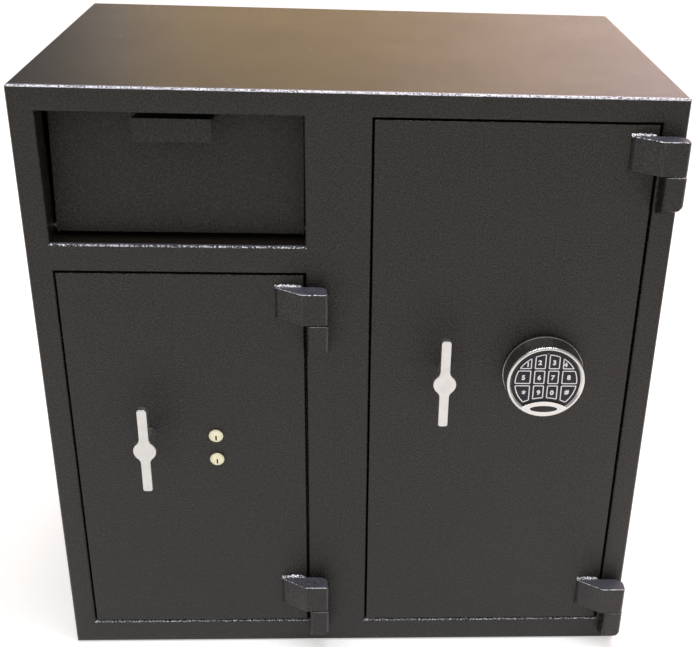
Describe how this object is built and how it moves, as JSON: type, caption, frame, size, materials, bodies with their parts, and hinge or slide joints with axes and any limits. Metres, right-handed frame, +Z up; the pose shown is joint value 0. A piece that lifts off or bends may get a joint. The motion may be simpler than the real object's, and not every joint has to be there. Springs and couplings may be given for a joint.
{
  "type": "drop safe with deposit drawer",
  "caption": "Steel depository safe with a tilting deposit drawer above a key-locked door and a tall keypad-locked door beside them.",
  "frame": {"origin": "on the floor at the middle of the body's footprint, which is the centre of the four anchor holes", "axes": "+X to the right as seen from the front, +Y from the front face to the back, +Z up"},
  "size_m": [0.78, 0.545, 0.802],
  "materials": {
    "textured_black_paint": "textured semi-gloss powder coat",
    "zinc_plated_steel": "bright zinc plate",
    "bright_steel": "turned",
    "die_cast_zinc": "as cast",
    "satin_chrome": "satin plated",
    "polished_chrome": "polished plate",
    "brass": "pale, turned",
    "black_plastic": "fine grain",
    "circuit_board": "lacquered",
    "battery_sleeve": "wrapped",
    "key_plastic": "satin with printed outlines"
  },
  "bodies": {
    "safe_body": {"body_shell": "textured_black_paint", "back_plate": "textured_black_paint", "front_frame": "textured_black_paint", "frame_returns": "textured_black_paint", "centre_divider": "textured_black_paint", "deposit_floor": "textured_black_paint", "deposit_baffle": "textured_black_paint", "drawer_brackets": "textured_black_paint", "frame_hinge_blocks": "textured_black_paint", "hinge_pins": "zinc_plated_steel", "hinge_washers": "zinc_plated_steel"},
    "deposit_drawer": {"drawer_panel": "textured_black_paint", "drawer_pull": "textured_black_paint", "drawer_sides": "textured_black_paint", "drawer_tray": "textured_black_paint", "drawer_rod": "zinc_plated_steel"},
    "small_door": {"small_door_plate": "textured_black_paint", "small_door_hinge_leaves": "textured_black_paint", "small_door_dead_bar": "textured_black_paint", "small_door_bolt_guide": "zinc_plated_steel", "small_door_cover": "textured_black_paint", "key_lock_case": "die_cast_zinc", "key_noses": "brass"},
    "guard_key": {"guard_key_plug": "brass"},
    "renter_key": {"renter_key_plug": "brass"},
    "key_lock_bolt": {"key_lock_bolt": "brass"},
    "small_door_handle": {"small_door_handle": "satin_chrome", "small_door_spindle": "satin_chrome", "small_door_cam": "die_cast_zinc"},
    "small_door_boltwork": {"small_door_bolt_bar": "zinc_plated_steel", "small_door_bolts": "bright_steel"},
    "large_door": {"large_door_plate": "textured_black_paint", "large_door_hinge_leaves": "textured_black_paint", "large_door_dead_bar": "textured_black_paint", "large_door_bolt_guide": "zinc_plated_steel", "large_door_cover": "textured_black_paint", "electronic_lock_case": "die_cast_zinc", "keypad_base": "black_plastic", "keypad_bezel": "polished_chrome", "keypad_face": "black_plastic", "keypad_board": "circuit_board", "keypad_battery": "battery_sleeve"},
    "electronic_lock_bolt": {"electronic_lock_bolt": "brass"},
    "large_door_handle": {"large_door_handle": "satin_chrome", "large_door_spindle": "satin_chrome", "large_door_cam": "die_cast_zinc"},
    "large_door_boltwork": {"large_door_bolt_bar": "zinc_plated_steel", "large_door_bolts": "bright_steel"},
    "key_1": {"key_1": "key_plastic"},
    "key_2": {"key_2": "key_plastic"},
    "key_3": {"key_3": "key_plastic"},
    "key_4": {"key_4": "key_plastic"},
    "key_5": {"key_5": "key_plastic"},
    "key_6": {"key_6": "key_plastic"},
    "key_7": {"key_7": "key_plastic"},
    "key_8": {"key_8": "key_plastic"},
    "key_star": {"key_star": "key_plastic"},
    "key_9": {"key_9": "key_plastic"},
    "key_0": {"key_0": "key_plastic"},
    "key_hash": {"key_hash": "key_plastic"}
  },
  "joints": [
    {"name": "deposit_drawer_tilt", "type": "hinge", "parent": "safe_body", "child": "deposit_drawer", "pos_m": [0, -0.2075, 0.6215], "axis": [1, 0, 0], "range_deg": [0, 50]},
    {"name": "small_door_swing", "type": "hinge", "parent": "safe_body", "child": "small_door", "pos_m": [-0.042, -0.2605, 0.3], "axis": [0, 0, 1], "range_deg": [0, 90]},
    {"name": "small_handle_turn", "type": "hinge", "parent": "small_door", "child": "small_door_handle", "pos_m": [-0.26, -0.2475, 0.3527], "axis": [0, -1, 0], "range_deg": [0, 45]},
    {"name": "small_bolts_slide", "type": "slide", "parent": "small_door", "child": "small_door_boltwork", "axis": [-1, 0, 0], "range_m": [0, 0.0199]},
    {"name": "guard_key_turn", "type": "hinge", "parent": "small_door", "child": "guard_key", "pos_m": [-0.176, -0.2475, 0.3476], "axis": [0, 1, 0], "range_deg": [0, 90]},
    {"name": "renter_key_turn", "type": "hinge", "parent": "small_door", "child": "renter_key", "pos_m": [-0.176, -0.2475, 0.3119], "axis": [0, 1, 0], "range_deg": [0, 90]},
    {"name": "key_lock_bolt_slide", "type": "slide", "parent": "small_door", "child": "key_lock_bolt", "axis": [0, 0, 1], "range_m": [0, 0.008]},
    {"name": "large_door_swing", "type": "hinge", "parent": "safe_body", "child": "large_door", "pos_m": [0.377, -0.2605, 0.4], "axis": [0, 0, 1], "range_deg": [0, 90]},
    {"name": "large_handle_turn", "type": "hinge", "parent": "large_door", "child": "large_door_handle", "pos_m": [0.1154, -0.2475, 0.451], "axis": [0, -1, 0], "range_deg": [0, 45]},
    {"name": "large_bolts_slide", "type": "slide", "parent": "large_door", "child": "large_door_boltwork", "axis": [-1, 0, 0], "range_m": [0, 0.0199]},
    {"name": "electronic_lock_bolt_slide", "type": "slide", "parent": "large_door", "child": "electronic_lock_bolt", "axis": [0, 0, 1], "range_m": [0, 0.008]},
    {"name": "key_1_press", "type": "slide", "parent": "large_door", "child": "key_1", "axis": [0, 1, 0], "range_m": [0, 0.001], "stiffness_N_per_m": 400, "springref_m": -0.002},
    {"name": "key_2_press", "type": "slide", "parent": "large_door", "child": "key_2", "axis": [0, 1, 0], "range_m": [0, 0.001], "stiffness_N_per_m": 400, "springref_m": -0.002},
    {"name": "key_3_press", "type": "slide", "parent": "large_door", "child": "key_3", "axis": [0, 1, 0], "range_m": [0, 0.001], "stiffness_N_per_m": 400, "springref_m": -0.002},
    {"name": "key_4_press", "type": "slide", "parent": "large_door", "child": "key_4", "axis": [0, 1, 0], "range_m": [0, 0.001], "stiffness_N_per_m": 400, "springref_m": -0.002},
    {"name": "key_5_press", "type": "slide", "parent": "large_door", "child": "key_5", "axis": [0, 1, 0], "range_m": [0, 0.001], "stiffness_N_per_m": 400, "springref_m": -0.002},
    {"name": "key_6_press", "type": "slide", "parent": "large_door", "child": "key_6", "axis": [0, 1, 0], "range_m": [0, 0.001], "stiffness_N_per_m": 400, "springref_m": -0.002},
    {"name": "key_7_press", "type": "slide", "parent": "large_door", "child": "key_7", "axis": [0, 1, 0], "range_m": [0, 0.001], "stiffness_N_per_m": 400, "springref_m": -0.002},
    {"name": "key_8_press", "type": "slide", "parent": "large_door", "child": "key_8", "axis": [0, 1, 0], "range_m": [0, 0.001], "stiffness_N_per_m": 400, "springref_m": -0.002},
    {"name": "key_star_press", "type": "slide", "parent": "large_door", "child": "key_star", "axis": [0, 1, 0], "range_m": [0, 0.001], "stiffness_N_per_m": 400, "springref_m": -0.002},
    {"name": "key_9_press", "type": "slide", "parent": "large_door", "child": "key_9", "axis": [0, 1, 0], "range_m": [0, 0.001], "stiffness_N_per_m": 400, "springref_m": -0.002},
    {"name": "key_0_press", "type": "slide", "parent": "large_door", "child": "key_0", "axis": [0, 1, 0], "range_m": [0, 0.001], "stiffness_N_per_m": 400, "springref_m": -0.002},
    {"name": "key_hash_press", "type": "slide", "parent": "large_door", "child": "key_hash", "axis": [0, 1, 0], "range_m": [0, 0.001], "stiffness_N_per_m": 400, "springref_m": -0.002}
  ],
  "couplings": [
    {"joint": "small_handle_turn", "follows": "small_bolts_slide", "rad_per_m": 39.467},
    {"joint": "large_handle_turn", "follows": "large_bolts_slide", "rad_per_m": 39.467},
    {"joint": "key_lock_bolt_slide", "follows": "renter_key_turn", "m_per_rad": 0.005}
  ]
}
